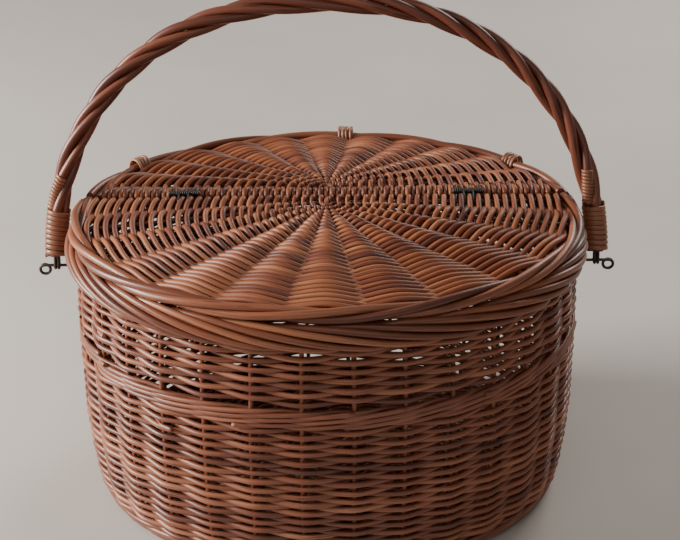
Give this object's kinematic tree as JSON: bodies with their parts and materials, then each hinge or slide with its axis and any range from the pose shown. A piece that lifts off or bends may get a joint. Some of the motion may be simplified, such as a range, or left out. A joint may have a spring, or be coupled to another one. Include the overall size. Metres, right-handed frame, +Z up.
{
  "type": "lidded wicker basket",
  "caption": "Oval willow basket with a split lid, a hinged front flap and a twisted bail handle that swings on wire pivots.",
  "frame": {"origin": "centre of the base on the ground plane", "axes": "+X to the right along the basket's length, +Y towards the fixed back half of the lid, +Z up"},
  "size_m": [0.475, 0.3383, 0.3973],
  "materials": {
    "weaver_rod": "buff willow weaving rods, varnished, tan to reddish brown from rod to rod",
    "stake_rod": "thicker willow stakes and sticks, varnished reddish brown",
    "wale_rod": "dark reddish-brown willow waling rods, varnished",
    "border_rod": "smooth border rods, glossy varnish, red-brown",
    "handle_rod": "long twisted willow rods, glossy varnish, with leaf scars",
    "cane": "split cane binding, lighter and satin",
    "iron_wire": "dark annealed iron wire, slightly rusty"
  },
  "bodies": {
    "root": {"foot_border": "border_rod", "base_weave": "weaver_rod", "base_long_sticks": "stake_rod", "base_cross_sticks": "stake_rod", "side_stakes": "stake_rod", "lower_side_weave": "weaver_rod", "wale_band": "wale_rod", "upper_side_weave": "weaver_rod", "rim_border_outer": "border_rod", "rim_border_inner": "border_rod", "back_lid_border": "border_rod", "back_lid_edge_stick": "stake_rod", "back_lid_sticks": "stake_rod", "back_lid_weave": "weaver_rod", "binding_right": "cane", "binding_centre": "cane", "binding_left": "cane", "hinge_pin_left": "iron_wire", "hinge_pin_right": "iron_wire", "pivot_wire_left": "iron_wire", "pivot_wire_right": "iron_wire"},
    "front_flap": {"front_lid_border": "border_rod", "front_lid_edge_stick": "stake_rod", "front_lid_sticks": "stake_rod", "front_lid_weave": "weaver_rod", "hinge_loop_left": "iron_wire", "hinge_loop_right": "iron_wire"},
    "handle": {"handle_strand_front": "handle_rod", "handle_strand_rear": "handle_rod", "handle_wrap_left": "cane", "handle_wrap_right": "cane", "handle_binding_left": "cane", "handle_binding_right": "cane", "handle_eye_left": "iron_wire", "handle_eye_right": "iron_wire"}
  },
  "joints": [
    {"name": "flap_hinge", "type": "hinge", "parent": "root", "child": "front_flap", "pos_m": [0, 0.034, 0.2465], "axis": [-1, 0, 0], "range_deg": [0, 80]},
    {"name": "handle_swing", "type": "hinge", "parent": "root", "child": "handle", "pos_m": [0, 0.018, 0.19], "axis": [1, 0, 0], "range_deg": [-95, 115]}
  ]
}
